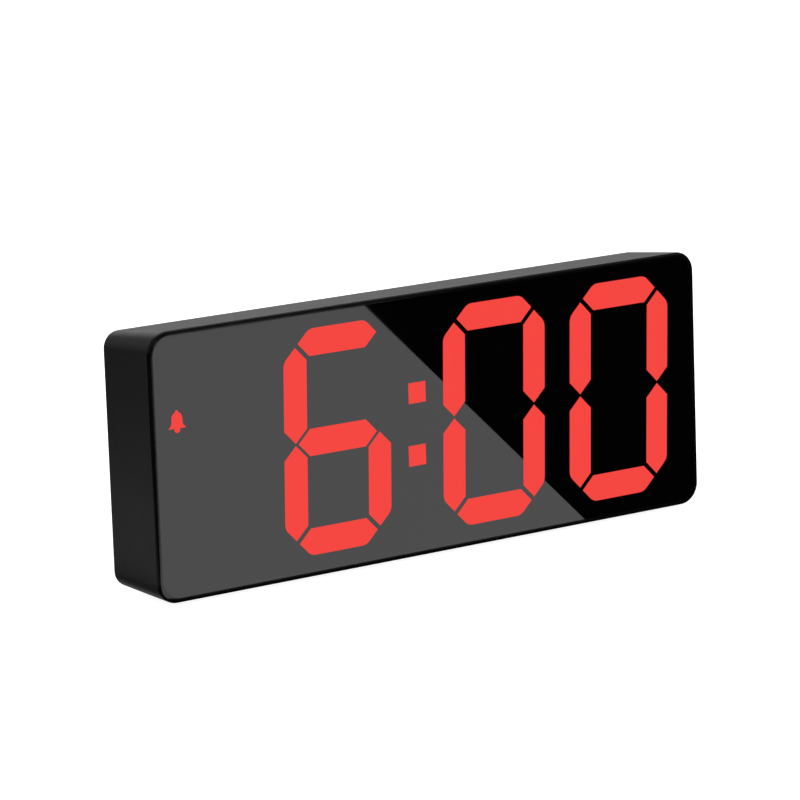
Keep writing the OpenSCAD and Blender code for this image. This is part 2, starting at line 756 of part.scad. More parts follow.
module battery_contacts() {
    color([0.8, 0.8, 0.82]) for (i = [0:cell_count - 1], s = [-1, 1])
        block(contact_t, 8, cell_y - 4, cell_y + 4, bay_x + s * (bay_w - contact_t) / 2, cell_z(i));
}

// A lead from a contact, out through the bay's end wall and down to the display board
module lead(s, z) {
    x0 = bay_x + s * bay_w / 2;
    x1 = x0 + s * (bay_wall + 2);
    axle(lead_r, min(x0, x1), max(x0, x1), cell_y, z);
    translate([x1, cell_y, z]) sphere(r = lead_r);
    rod(lead_r, pcb_back_y, cell_y, x1, z);
}
module lead_positive() { color([0.75, 0.1, 0.08]) lead(-1, cell_z(0)); }
module lead_negative() { color([0.08, 0.08, 0.08]) lead(1, cell_z(cell_count - 1)); }

main_shell();
front_lens();
lens_tape();
diffuser_film();
digit_2_windows();
digit_3_windows();
digit_4_windows();
colon_windows();
bell_window();
dark_windows();
light_box();
display_board();
display_leds();
board_screws();
driver_chip();
clock_chip();
crystal();
capacitors();
resistors();
buzzer();
link_socket();
link_pins();
key_board();
key_board_screws();
key_switches();
alarm_switch_body();
usb_shell();
usb_tongue();
back_cover();
case_screws();
battery_top();
battery_middle();
battery_bottom();
battery_springs();
battery_contacts();
lead_positive();
lead_negative();
rubber_feet();
battery_door();
set_button();
mode_button();
up_button();
down_button();
set_stem();
mode_stem();
up_stem();
down_stem();
alarm_slider();
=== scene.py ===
import bpy
import bmesh
import math
from mathutils import Matrix, Quaternion, Vector


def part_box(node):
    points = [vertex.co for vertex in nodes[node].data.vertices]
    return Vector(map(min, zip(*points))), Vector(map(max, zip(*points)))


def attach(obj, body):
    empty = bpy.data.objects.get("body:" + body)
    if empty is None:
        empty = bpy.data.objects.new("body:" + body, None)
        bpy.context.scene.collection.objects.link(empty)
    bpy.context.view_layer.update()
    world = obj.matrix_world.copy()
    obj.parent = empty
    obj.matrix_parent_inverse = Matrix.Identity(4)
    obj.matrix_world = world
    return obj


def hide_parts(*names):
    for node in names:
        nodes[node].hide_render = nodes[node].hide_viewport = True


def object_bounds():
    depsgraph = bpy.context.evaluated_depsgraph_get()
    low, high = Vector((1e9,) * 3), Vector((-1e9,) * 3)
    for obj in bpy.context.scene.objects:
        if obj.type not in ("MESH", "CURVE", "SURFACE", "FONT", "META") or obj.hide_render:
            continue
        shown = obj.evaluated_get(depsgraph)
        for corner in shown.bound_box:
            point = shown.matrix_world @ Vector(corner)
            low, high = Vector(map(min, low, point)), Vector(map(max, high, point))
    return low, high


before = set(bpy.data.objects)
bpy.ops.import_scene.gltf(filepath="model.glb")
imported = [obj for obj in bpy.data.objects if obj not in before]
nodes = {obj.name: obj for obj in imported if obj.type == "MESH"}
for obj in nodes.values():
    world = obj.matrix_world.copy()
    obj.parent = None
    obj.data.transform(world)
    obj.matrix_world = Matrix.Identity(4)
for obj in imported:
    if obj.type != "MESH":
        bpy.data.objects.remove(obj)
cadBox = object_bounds()
mm = 0.001

caseLow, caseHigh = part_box("main_shell")
lensLow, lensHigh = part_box("front_lens")
coverLow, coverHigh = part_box("back_cover")

cameraSettings = {
    "azimuth": -35.009,  # degrees round the clock, 0 looks at the face
    "elevation": 11.060,
    "roll": -2.031,
    "distance": 1048 * mm,
    "aim": Vector((-1.57, 1.56, 36.58)) * mm,
    "lens": 195.5,
    "clipStart": 0.05,
}


def makeCamera(s):
    azimuth = math.radians(s["azimuth"])
    elevation = math.radians(s["elevation"])
    across = math.cos(elevation)
    back = Vector((math.sin(azimuth) * across, -math.cos(azimuth) * across, math.sin(elevation)))
    data = bpy.data.cameras.new("camera")
    data.lens = s["lens"]
    data.clip_start = s["clipStart"]
    made = bpy.data.objects.new("camera", data)
    made.location = s["aim"] + back * s["distance"]
    made.rotation_mode = "QUATERNION"
    roll = Quaternion((0, 0, 1), math.radians(s["roll"]))
    made.rotation_quaternion = (-back).to_track_quat("-Z", "Y") @ roll
    bpy.context.scene.collection.objects.link(made)
    bpy.context.scene.camera = made
    return made


camera = makeCamera(cameraSettings)
print("camera placed")


# building blocks of the finishes, all on Object coordinates

def startMaterial(name, color, roughness, metallic=0.0, specular=0.5):
    made = bpy.data.materials.new(name)
    made.use_nodes = True
    tree = made.node_tree
    shader = tree.nodes["Principled BSDF"]
    shader.inputs["Base Color"].default_value = (*color, 1)
    shader.inputs["Roughness"].default_value = roughness
    shader.inputs["Metallic"].default_value = metallic
    shader.inputs["Specular IOR Level"].default_value = specular
    return made, tree, shader


def noise(tree, size, detail=3):
    where = tree.nodes.new("ShaderNodeTexCoord")
    made = tree.nodes.new("ShaderNodeTexNoise")
    made.inputs["Scale"].default_value = 1 / size
    made.inputs["Detail"].default_value = detail
    tree.links.new(where.outputs["Object"], made.inputs["Vector"])
    return made.outputs["Fac"]


def between(tree, factor, low, high):
    made = tree.nodes.new("ShaderNodeMapRange")
    made.inputs["From Min"].default_value = 0.3  # noise rarely leaves 0.3 to 0.7
    made.inputs["From Max"].default_value = 0.7
    made.inputs["To Min"].default_value = low
    made.inputs["To Max"].default_value = high
    tree.links.new(factor, made.inputs["Value"])
    return made.outputs["Result"]


def shades(tree, factor, low, high):
    made = tree.nodes.new("ShaderNodeMix")
    made.data_type = "RGBA"
    made.inputs["A"].default_value = (*low, 1)
    made.inputs["B"].default_value = (*high, 1)
    tree.links.new(factor, made.inputs["Factor"])
    return made.outputs["Result"]


def relief(tree, shader, height, depth):
    made = tree.nodes.new("ShaderNodeBump")
    made.inputs["Distance"].default_value = depth
    tree.links.new(height, made.inputs["Height"])
    tree.links.new(made.outputs["Normal"], shader.inputs["Normal"])


def scaled(color, share):
    return tuple(c * share for c in color)


moulding = {"cloud": 14 * mm, "dark": 0.92, "light": 1.08, "patch": 3 * mm}


def mouldedPlastic(name, s):
    made, tree, shader = startMaterial(name, s["color"], s["roughness"], 0, s.get("specular", 0.5))
    cloud = between(tree, noise(tree, moulding["cloud"]), 0, 1)
    dark, light = scaled(s["color"], moulding["dark"]), scaled(s["color"], moulding["light"])
    tree.links.new(shades(tree, cloud, dark, light), shader.inputs["Base Color"])
    spread = s.get("spread", 0.03)
    patches = noise(tree, moulding["patch"])
    rough = between(tree, patches, s["roughness"] - spread, s["roughness"] + spread)
    tree.links.new(rough, shader.inputs["Roughness"])
    relief(tree, shader, noise(tree, s["grain"], 2), s["depth"])
    return made


rolling = {"grain": 1 * mm, "dark": 0.85, "smoother": 0.06, "rougher": 0.08, "depth": 0.004 * mm}


def metal(name, s):
    made, tree, shader = startMaterial(name, s["color"], s["roughness"], 1)
    streaks = noise(tree, s.get("grain", rolling["grain"]), 4)
    tint = shades(tree, between(tree, streaks, 0, 1), scaled(s["color"], rolling["dark"]), s["color"])
    tree.links.new(tint, shader.inputs["Base Color"])
    low, high = s["roughness"] - rolling["smoother"], s["roughness"] + rolling["rougher"]
    tree.links.new(between(tree, streaks, low, high), shader.inputs["Roughness"])
    relief(tree, shader, streaks, rolling["depth"])
    return made


caseFinish = mouldedPlastic("satin_black_case", {
    "color": (0.009, 0.009, 0.0092), "roughness": 0.4, "grain": 0.25 * mm, "depth": 0.003 * mm})
rimFinish = mouldedPlastic("polished_black_rim", {
    "color": (0.002, 0.002, 0.002), "roughness": 0.14, "spread": 0.02,
    "grain": 0.8 * mm, "depth": 0.001 * mm})
backFinish = mouldedPlastic("textured_black_back", {
    "color": (0.025, 0.025, 0.0255), "roughness": 0.5, "grain": 0.3 * mm, "depth": 0.02 * mm})
buttonFinish = mouldedPlastic("polished_black_button", {
    "color": (0.018, 0.018, 0.019), "roughness": 0.28, "grain": 0.5 * mm, "depth": 0.002 * mm})
rubberFinish = mouldedPlastic("black_rubber", {
    "color": (0.02, 0.02, 0.02), "roughness": 0.8, "specular": 0.3,
    "grain": 0.4 * mm, "depth": 0.01 * mm})
tapeFinish = mouldedPlastic("black_foam_tape", {
    "color": (0.02, 0.02, 0.02), "roughness": 0.9, "specular": 0.2,
    "grain": 0.2 * mm, "depth": 0.02 * mm})
filmFinish = mouldedPlastic("white_diffuser_film", {
    "color": (0.8, 0.8, 0.78), "roughness": 0.6, "grain": 0.3 * mm, "depth": 0.002 * mm})
boxFinish = mouldedPlastic("white_light_box", {
    "color": (0.8, 0.8, 0.78), "roughness": 0.5, "grain": 0.5 * mm, "depth": 0.004 * mm})
chipFinish = mouldedPlastic("black_epoxy", {
    "color": (0.02, 0.02, 0.022), "roughness": 0.5, "grain": 0.1 * mm, "depth": 0.004 * mm})
nylonFinish = mouldedPlastic("black_nylon", {
    "color": (0.011, 0.011, 0.011), "roughness": 0.45, "grain": 0.4 * mm, "depth": 0.004 * mm})
switchFinish = mouldedPlastic("dark_switch_housing", {
    "color": (0.03, 0.03, 0.03), "roughness": 0.45, "grain": 0.4 * mm, "depth": 0.003 * mm})
stemFinish = mouldedPlastic("natural_nylon", {
    "color": (0.7, 0.68, 0.62), "roughness": 0.45, "grain": 0.4 * mm, "depth": 0.004 * mm})
ledFinish = mouldedPlastic("led_resin", {
    "color": (0.75, 0.62, 0.35), "roughness": 0.2, "grain": 0.3 * mm, "depth": 0.002 * mm})
sleeveFinish = mouldedPlastic("blue_capacitor_sleeve", {
    "color": (0.02, 0.03, 0.1), "roughness": 0.3, "grain": 0.6 * mm, "depth": 0.002 * mm})
redLeadFinish = mouldedPlastic("red_lead", {
    "color": (0.5, 0.01, 0.01), "roughness": 0.4, "grain": 0.5 * mm, "depth": 0.004 * mm})
blackLeadFinish = mouldedPlastic("black_lead", {
    "color": (0.012, 0.012, 0.012), "roughness": 0.4, "grain": 0.5 * mm, "depth": 0.004 * mm})
cellFinish = mouldedPlastic("blue_cell_sleeve", {
    "color": (0.02, 0.09, 0.33), "roughness": 0.22, "grain": 1.2 * mm, "depth": 0.003 * mm})
bandFinish = mouldedPlastic("silver_cell_band", {
    "color": (0.55, 0.56, 0.58), "roughness": 0.3, "grain": 1.2 * mm, "depth": 0.003 * mm})
printFinish = mouldedPlastic("pale_pad_print", {
    "color": (0.42, 0.42, 0.42), "roughness": 0.6, "grain": 0.15 * mm, "depth": 0.003 * mm})
tinFinish = metal("tinned_steel", {"color": (0.62, 0.62, 0.63), "roughness": 0.3})
nickelFinish = metal("nickel_spring_steel", {
    "color": (0.68, 0.66, 0.62), "roughness": 0.24, "grain": 0.6 * mm})
zincFinish = metal("zinc_screw", {"color": (0.55, 0.55, 0.57), "roughness": 0.32})
goldFinish = metal("gold_plate", {"color": (0.75, 0.5, 0.18), "roughness": 0.22})
blackScrewFinish = metal("black_oxide", {"color": (0.045, 0.045, 0.05), "roughness": 0.38})

mirror = {
    "color": (0.0006, 0.0006, 0.0007),
    "dark": (0.0004, 0.0004, 0.0005),
    "light": (0.0009, 0.0009, 0.001),
    "tintSize": 20 * mm,
    "specular": 0.62,
    "clear": 0.010,  # roughness where the lens is clearest and haziest
    "hazy": 0.022,
    "hazeSize": 30 * mm,
}


def darkMirror(name, s):
    made, tree, shader = startMaterial(name, s["color"], s["clear"], 0, s["specular"])
    haze = between(tree, noise(tree, s["hazeSize"]), s["clear"], s["hazy"])
    tree.links.new(haze, shader.inputs["Roughness"])
    tint = shades(tree, noise(tree, s["tintSize"]), s["dark"], s["light"])
    tree.links.new(tint, shader.inputs["Base Color"])
    return made


lensFinish = darkMirror("smoked_mirror_acrylic", mirror)

glow = {
    "color": (0.905, 0.0630, 0.0529),
    "strength": 1.0,
    "unlit": 0.02,  # share of the colour that shows without its light
    "dim": 0.985,
    "bright": 1.015,
    "patch": 6 * mm,
}


def litWindow(name, s):
    made, tree, shader = startMaterial(name, scaled(s["color"], s["unlit"]), 0.5, 0, 0.0)
    dim, bright = scaled(s["color"], s["dim"]), scaled(s["color"], s["bright"])
    even = shades(tree, noise(tree, s["patch"]), dim, bright)
    tree.links.new(even, shader.inputs["Emission Color"])
    shader.inputs["Emission Strength"].default_value = s["strength"]
    return made


glowFinish = litWindow("red_light_window", glow)

mask = {
    "color": (0.01, 0.07, 0.03),
    "dark": (0.006, 0.055, 0.022, 1),
    "light": (0.007, 0.062, 0.025, 1),
    "track": (0.02, 0.13, 0.05, 1),
    "trackWidth": 0.04,
    "pitch": 9 * mm,
    "roughness": 0.25,
    "depth": 0.02 * mm,
}


def solderMask(name, s):
    made, tree, shader = startMaterial(name, s["color"], s["roughness"])
    where = tree.nodes.new("ShaderNodeTexCoord")
    tracks = tree.nodes.new("ShaderNodeTexBrick")
    tracks.inputs["Scale"].default_value = 1 / s["pitch"]
    tracks.inputs["Mortar Size"].default_value = s["trackWidth"]
    tracks.inputs["Color1"].default_value = s["dark"]
    tracks.inputs["Color2"].default_value = s["light"]
    tracks.inputs["Mortar"].default_value = s["track"]
    turn = tree.nodes.new("ShaderNodeMapping")
    turn.inputs["Rotation"].default_value = (math.radians(90), 0, 0)  # the boards stand upright
    tree.links.new(where.outputs["Object"], turn.inputs["Vector"])
    tree.links.new(turn.outputs["Vector"], tracks.inputs["Vector"])
    tree.links.new(tracks.outputs["Color"], shader.inputs["Base Color"])
    relief(tree, shader, tracks.outputs["Fac"], -s["depth"])
    return made


boardFinish = solderMask("green_solder_mask", mask)
print("finishes made")


# tools that several pieces use

weldGap = 0.0005 * mm  # corners of a CAD node closer than this are one
poleGap = 0.001 * mm  # the same where a spun profile meets its axis
flatTurn = math.radians(0.5)  # faces that turn less than this are one
onPlane = 0.001 * mm


def finished(bm, name, body, finishes, replaced=(), sharpAngle=35):
    mesh = bpy.data.meshes.new(name)
    bm.to_mesh(mesh)
    bm.free()
    mesh.shade_smooth()
    mesh.set_sharp_from_angle(angle=math.radians(sharpAngle))
    for finish in finishes:
        mesh.materials.append(finish)
    made = bpy.data.objects.new(name, mesh)
    bpy.context.scene.collection.objects.link(made)
    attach(made, body)
    if replaced:
        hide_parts(*replaced)
    return made


def evenNormals(made):
    weigh = made.modifiers.new("even_normals", "WEIGHTED_NORMAL")
    weigh.keep_sharp = True
    weigh.weight = 50


# a copy of a CAD node with its sharp edges rounded
def softened(node, name, body, finish, width, angle=40, segments=2):
    bm = bmesh.new()
    bm.from_mesh(nodes[node].data)
    bmesh.ops.remove_doubles(bm, verts=bm.verts, dist=weldGap)
    bmesh.ops.dissolve_limit(bm, angle_limit=flatTurn, verts=bm.verts, edges=bm.edges)
    edges = [e for e in bm.edges if e.is_manifold and e.calc_face_angle() > math.radians(angle)]
    bmesh.ops.bevel(bm, geom=edges, offset=width, offset_type="OFFSET", affect="EDGES",
                    segments=segments, profile=0.5, material=-1, clamp_overlap=True)
    evenNormals(finished(bm, name, body, [finish], [node]))


# spins a profile of (radius, distance along) points round an axis
def lathe(bm, profile, centre, axis, steps):
    across = Vector((0, 0, 1)) if abs(axis.z) < 0.5 else Vector((1, 0, 0))
    points = [bm.verts.new(centre + axis * along + across * radius) for radius, along in profile]
    edges = [bm.edges.new(pair) for pair in zip(points, points[1:])]
    bmesh.ops.spin(bm, geom=points + edges, cent=centre, axis=axis, angle=math.tau,
                   steps=steps, use_merge=True)
    bmesh.ops.remove_doubles(bm, verts=bm.verts, dist=poleGap)
    bmesh.ops.recalc_face_normals(bm, faces=bm.faces)


# part of such a profile, from one angle to another in degrees
def arc(centreRadius, centreAlong, radius, start, end, steps):
    turns = [math.radians(start + (end - start) * i / steps) for i in range(steps + 1)]
    return [(centreRadius + radius * math.cos(t), centreAlong + radius * math.sin(t)) for t in turns]


def joinInto(bm, other):
    part = bpy.data.meshes.new("part")
    other.to_mesh(part)
    other.free()
    bm.from_mesh(part)
    bpy.data.meshes.remove(part)


shell = {
    "cornerRadius": 5.2 * mm,  # at the face
    "backCorner": 4 * mm,
    "lensCorner": 4.8 * mm,
    "mouthCorner": 1.5 * mm,
    "cornerSteps": 14,
    "rimRound": 0.65 * mm,
    "rimFlat": 0.5 * mm,
    "rimSteps": 6,
    "polished": 0.9,  # share of the rim's rounding that is polished
    "lipWidth": 2.2 * mm,
    "lipThickness": 1.4 * mm,
    "backRound": 0.6 * mm,
    "backSteps": 4,
    "wall": 2 * mm,
    "draftTop": 2.35 * mm,  # how much lower the top is at the back
    "draftLow": 0.75 * mm,  # how much higher the underside is there
    "draftWidth": 0.75 * mm,  # how far each side comes in
}


def pushFace(bm, face, offset):
    made = bmesh.ops.extrude_discrete_faces(bm, faces=[face])["faces"][0]
    bmesh.ops.translate(bm, verts=made.verts, vec=offset)
    return made


def insetFace(bm, face, width):
    bmesh.ops.inset_region(bm, faces=[face], thickness=width, use_even_offset=True)
    return face


def faceAt(bm, y):
    flat = [f for f in bm.faces if all(abs(v.co.y - y) < onPlane for v in f.verts)]
    return max(flat, key=lambda f: f.calc_area())


def moveSides(bm, verts, centre, wide, up, down):
    bmesh.ops.translate(bm, verts=[v for v in verts if v.co.x > centre.x], vec=(wide, 0, 0))
    bmesh.ops.translate(bm, verts=[v for v in verts if v.co.x < centre.x], vec=(-wide, 0, 0))
    bmesh.ops.translate(bm, verts=[v for v in verts if v.co.z > centre.z], vec=(0, 0, up))
    bmesh.ops.translate(bm, verts=[v for v in verts if v.co.z < centre.z], vec=(0, 0, -down))


def reshapeCorners(bm, verts, before, after):
    xEnds = (min(v.co.x for v in verts), max(v.co.x for v in verts))
    zEnds = (min(v.co.z for v in verts), max(v.co.z for v in verts))
    reach = before * 1.3  # takes in the whole arc, both ends included
    share = after / before
    for x in xEnds:
        for z in zEnds:
            corner = [v for v in verts if abs(v.co.x - x) < reach and abs(v.co.z - z) < reach]
            pivot = Matrix.Translation((-x, 0, -z))
            bmesh.ops.scale(bm, verts=corner, vec=(share, 1, share), space=pivot)


def makeShell(s):
    size = caseHigh - caseLow
    centre = (caseLow + caseHigh) / 2
    backY = coverHigh.y
    depth = backY - caseLow.y
    middleY = caseLow.y + depth / 2
    bm = bmesh.new()
    bmesh.ops.create_cube(bm, size=1)
    bmesh.ops.scale(bm, verts=bm.verts, vec=(size.x, depth, size.z))
    bmesh.ops.translate(bm, verts=bm.verts, vec=(centre.x, middleY, centre.z))
    back = [v for v in bm.verts if v.co.y > middleY]
    moveSides(bm, back, centre, -s["draftWidth"], -s["draftTop"], -s["draftLow"])
    long = [e for e in bm.edges if abs(e.verts[0].co.y - e.verts[1].co.y) > depth / 2]
    bmesh.ops.bevel(bm, geom=long, offset=s["cornerRadius"], offset_type="OFFSET", affect="EDGES",
                    segments=s["cornerSteps"], profile=0.5, material=-1)
    reshapeCorners(bm, faceAt(bm, backY).verts, s["cornerRadius"], s["backCorner"])
    rounds = ((caseLow.y, s["rimRound"], s["rimSteps"]), (backY, s["backRound"], s["backSteps"]))
    for y, radius, steps in rounds:
        edges = list(faceAt(bm, y).edges)
        bmesh.ops.bevel(bm, geom=edges, offset=radius, offset_type="OFFSET", affect="EDGES",
                        segments=steps, profile=0.5, material=-1)
    # the seat of the lens, and the mouth behind it
    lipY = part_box("lens_tape")[1].y
    seat = insetFace(bm, faceAt(bm, caseLow.y), s["rimFlat"])
    reshapeCorners(bm, seat.verts, s["cornerRadius"] - s["rimRound"] - s["rimFlat"], s["lensCorner"])
    seat = pushFace(bm, seat, (0, lipY - caseLow.y, 0))
    front = insetFace(bm, seat, s["lipWidth"])
    reshapeCorners(bm, front.verts, s["lensCorner"] - s["lipWidth"], s["mouthCorner"])
    frontLoop = list(front.edges)
    # the room inside, open at the back
    room = insetFace(bm, faceAt(bm, backY), s["wall"] - s["backRound"])
    room = pushFace(bm, room, (0, lipY + s["lipThickness"] - backY, 0))
    moveSides(bm, room.verts, centre, s["draftWidth"], s["draftTop"], s["draftLow"])
    reshapeCorners(bm, room.verts, s["backCorner"] - s["wall"], s["cornerRadius"] - s["wall"])
    lip = s["rimRound"] + s["rimFlat"] + s["lipWidth"] - s["wall"]
    rear = insetFace(bm, room, lip)
    reshapeCorners(bm, rear.verts, s["cornerRadius"] - s["wall"] - lip, s["mouthCorner"])
    rearLoop = list(rear.edges)
    bmesh.ops.delete(bm, geom=[front, rear], context="FACES_ONLY")
    bmesh.ops.bridge_loops(bm, edges=frontLoop + rearLoop)
    for face in bm.faces:
        middle = face.calc_center_median()
        inLens = lensLow.x < middle.x < lensHigh.x and lensLow.z < middle.z < lensHigh.z
        onRim = middle.y < caseLow.y + s["polished"] * s["rimRound"]
        inSeat = inLens and middle.y < lipY
        face.material_index = 1 if onRim or inSeat else 0
    print("shell", len(bm.faces), "faces, open edges", sum(not e.is_manifold for e in bm.edges))
    made = finished(bm, "case_shell", "case", [caseFinish, rimFinish], ["main_shell"])
    evenNormals(made)


makeShell(shell)

postShape = {
    "caseRadius": 2.4 * mm,
    "boardRadius": 2 * mm,
    "screwHead": 1.9 * mm,
    "pilot": 0.9 * mm,
    "pilotDepth": 7 * mm,
    "floor": 0.5 * mm,  # least thickness under a pilot hole
    "web": 1.6 * mm,
    "sunk": 1.6 * mm,  # how far inside the case's outline a web ends
    "root": 0.1 * mm,  # how far a post runs into the lip
    "steps": 40,
}


def addPost(bm, foot, length, radius, s):
    post = bmesh.new()
    floor = max(length - s["pilotDepth"], s["floor"])
    profile = [(0, 0), (radius, 0), (radius, length)]
    profile += [(s["pilot"], length), (s["pilot"], floor), (0, floor)]
    lathe(post, profile, foot, Vector((0, 1, 0)), s["steps"])
    joinInto(bm, post)


def makePosts(s):
    bm = bmesh.new()
    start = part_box("lens_tape")[1].y + shell["lipThickness"] - s["root"]
    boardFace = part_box("display_board")[0].y
    middleZ = (caseLow.z + caseHigh.z) / 2
    kinds = (
        ("case_screws", s["caseRadius"], coverLow.y, True),  # webs to the side walls
        ("board_screws", s["boardRadius"], boardFace, False),  # webs to the top and underside
    )
    for screws, radius, end, sideways in kinds:
        low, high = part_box(screws)
        for x in (low.x + s["screwHead"], high.x - s["screwHead"]):
            for z in (low.z + s["screwHead"], high.z - s["screwHead"]):
                foot = Vector((x, start, z))
                addPost(bm, foot, end - start, radius, s)
                wallX = math.copysign(caseHigh.x - s["sunk"], x)
                wallZ = caseHigh.z - s["sunk"] if z > middleZ else caseLow.z + s["sunk"]
                edge = Vector((wallX, end, z)) if sideways else Vector((x, end, wallZ))
                wide = abs(edge.x - x) or s["web"]
                tall = abs(edge.z - z) or s["web"]
                size = Vector((wide, end - start, tall))
                place = Matrix.LocRotScale((foot + edge) / 2, None, size)
                bmesh.ops.create_cube(bm, size=1, matrix=place)
    finished(bm, "screw_posts", "case", [caseFinish])


makePosts(postShape)
print("shell and posts made")

edgeRound = {
    "cover": 0.2 * mm,
    "knob": 0.06 * mm,
    "socket": 0.05 * mm,
    "screw": 0.05 * mm,
    "plate": 0.08 * mm,
}

softened("back_cover", "rear_cover", "case", backFinish, edgeRound["cover"])
softened("battery_door", "battery_cover", "door", backFinish, edgeRound["cover"])
softened("alarm_slider", "alarm_knob", "alarm_knob", buttonFinish, edgeRound["knob"])
softened("usb_shell", "usb_socket", "case", tinFinish, edgeRound["socket"])
softened("case_screws", "cover_screws", "case", blackScrewFinish, edgeRound["screw"])
print("cover, door and slider made")

buttonShape = {
    "radius": 3 * mm,
    "flange": 0.7 * mm,
    "flangeEdge": 0.12 * mm,
    "edge": 0.4 * mm,
    "dish": 0.3 * mm,
    "dishInset": 0.48 * mm,
    "flangeSteps": 3,
    "edgeSteps": 6,
    "dishSteps": 6,
    "steps": 64,
}


def makeButton(node, name, body, s):
    low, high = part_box(node)
    centre = Vector(((low.x + high.x) / 2, low.y, (low.z + high.z) / 2))
    tall = high.y - low.y
    wide = (high.x - low.x) / 2
    soft = s["flangeEdge"]
    edge = s["edge"]
    profile = [(0, 0)] + arc(wide - soft, soft, soft, -90, 0, s["flangeSteps"])
    profile += arc(wide - soft, s["flange"] - soft, soft, 0, 90, s["flangeSteps"])
    profile += [(s["radius"], s["flange"])]
    profile += arc(s["radius"] - edge, tall - edge, edge, 0, 80, s["edgeSteps"])
    for i in range(s["dishSteps"] + 1):
        t = i / s["dishSteps"]
        sink = s["dish"] * math.sin(math.pi / 2 * t)
        profile += [((s["radius"] - s["dishInset"]) * (1 - t), tall - sink)]
    bm = bmesh.new()
    lathe(bm, profile, centre, Vector((0, 1, 0)), s["steps"])
    finished(bm, name, body, [buttonFinish], [node])


for key in ("set", "mode", "up", "down"):
    makeButton(key + "_button", key + "_key_cap", key + "_key", buttonShape)
print("buttons made")

marks = {
    "size": 1.1 * mm,
    "line": 0.3 * mm,
    "thick": 0.03 * mm,
    "sunk": 0.01 * mm,
    "above": 6.2 * mm,  # above the middle of a button
    "barGap": 0.7 * mm,
    "ringSteps": 28,
    "dotRadius": 0.77 * mm,  # the pair of marks over the slider
    "dotShift": 1.5 * mm,
    "dotsAbove": 3.6 * mm,
    "dotSteps": 24,
}


def fillOutline(bm, outline, hole=()):
    edges = []
    for ring in (outline, hole):
        edges += [bm.edges.new(pair) for pair in zip(ring, ring[1:] + ring[:1])]
    bmesh.ops.triangle_fill(bm, use_beauty=True, use_dissolve=True, edges=edges)


def circleAt(bm, centre, radius, count, turn=0.0):
    return [bm.verts.new(centre + Vector((math.cos(a), 0, math.sin(a))) * radius)
            for a in (math.radians(turn) + math.tau * i / count for i in range(count))]


def ringAt(bm, centre, radius, line, count):
    fillOutline(bm, circleAt(bm, centre, radius, count), circleAt(bm, centre, radius - line, count))


def barAt(bm, centre, wide, tall):
    return [bm.verts.new(centre + Vector((x * wide / 2, 0, z * tall / 2)))
            for x, z in ((-1, -1), (1, -1), (1, 1), (-1, 1))]


def spotOver(node, lift, s):
    low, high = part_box(node)
    return Vector(((low.x + high.x) / 2, coverHigh.y - s["sunk"], (low.z + high.z) / 2 + lift))


def makeMarks(s):
    bm = bmesh.new()
    ringAt(bm, spotOver("set_button", s["above"], s), s["size"], s["line"], s["ringSteps"])
    spot = spotOver("mode_button", s["above"], s)
    for lift in (-s["barGap"], 0, s["barGap"]):
        fillOutline(bm, barAt(bm, spot + Vector((0, 0, lift)), 2 * s["size"], s["line"]))
    fillOutline(bm, circleAt(bm, spotOver("up_button", s["above"], s), s["size"], 3, 90))
    fillOutline(bm, circleAt(bm, spotOver("down_button", s["above"], s), s["size"], 3, -90))
    spot = spotOver("alarm_switch_body", s["dotsAbove"], s)
    shift = Vector((s["dotShift"], 0, 0))
    fillOutline(bm, circleAt(bm, spot + shift, s["dotRadius"], s["dotSteps"]))
    ringAt(bm, spot - shift, s["dotRadius"], s["line"], s["dotSteps"])
    made = bmesh.ops.extrude_face_region(bm, geom=list(bm.faces), use_keep_orig=True)
    raised = [g for g in made["geom"] if isinstance(g, bmesh.types.BMVert)]
    bmesh.ops.translate(bm, verts=raised, vec=(0, s["thick"], 0))
    bmesh.ops.recalc_face_normals(bm, faces=bm.faces)
    finished(bm, "cover_marks", "case", [printFinish])


makeMarks(marks)

padShape = {
    "count": 5,
    "margin": 0.6,  # in pitches, at both ends together
    "wide": 0.5,  # share of the pitch
    "deep": 0.75,  # share of the tongue's depth
    "middle": 0.45,
    "thick": 0.06 * mm,
    "edge": 0.02 * mm,
}


def makePads(s):
    low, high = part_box("usb_tongue")
    depth = high.y - low.y
    pitch = (high.x - low.x) / (s["count"] + s["margin"])
    size = Vector((s["wide"] * pitch, s["deep"] * depth, s["thick"]))
    bm = bmesh.new()
    for i in range(s["count"]):
        x = (low.x + high.x) / 2 + (i - (s["count"] - 1) / 2) * pitch
        place = Vector((x, high.y - s["middle"] * depth, low.z))
        made = bmesh.ops.create_cube(bm, size=1, matrix=Matrix.LocRotScale(place, None, size))
        corners = set(made["verts"])
        edges = [e for e in bm.edges if e.verts[0] in corners]
        bmesh.ops.bevel(bm, geom=edges, offset=s["edge"], offset_type="OFFSET", affect="EDGES",
                        segments=1, profile=0.5, material=-1)
    finished(bm, "usb_pads", "case", [goldFinish])


makePads(padShape)
print("marks and pads made")

footShape = {"radius": 3.5 * mm, "edge": 0.25 * mm, "edgeSteps": 4, "sunk": 0.25 * mm, "steps": 56}


def makeFeet(s):
    low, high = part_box("rubber_feet")
    slope = shell["draftLow"] / (coverHigh.y - caseLow.y)
    bm = bmesh.new()
    for x in (low.x + s["radius"], high.x - s["radius"]):
        for y in (low.y + s["radius"], high.y - s["radius"]):
            top = caseLow.z + slope * (y - s["radius"] - caseLow.y) + s["sunk"]
            edge = s["edge"]
            profile = [(0, 0)] + arc(s["radius"] - edge, edge, edge, -90, 0, s["edgeSteps"])
            profile += [(s["radius"], top), (0, top)]
            foot = bmesh.new()
            lathe(foot, profile, Vector((x, y, low.z)), Vector((0, 0, 1)), s["steps"])
            joinInto(bm, foot)
    finished(bm, "rubber_foot_pads", "case", [rubberFinish], ["rubber_feet"])


makeFeet(footShape)
print("feet made")

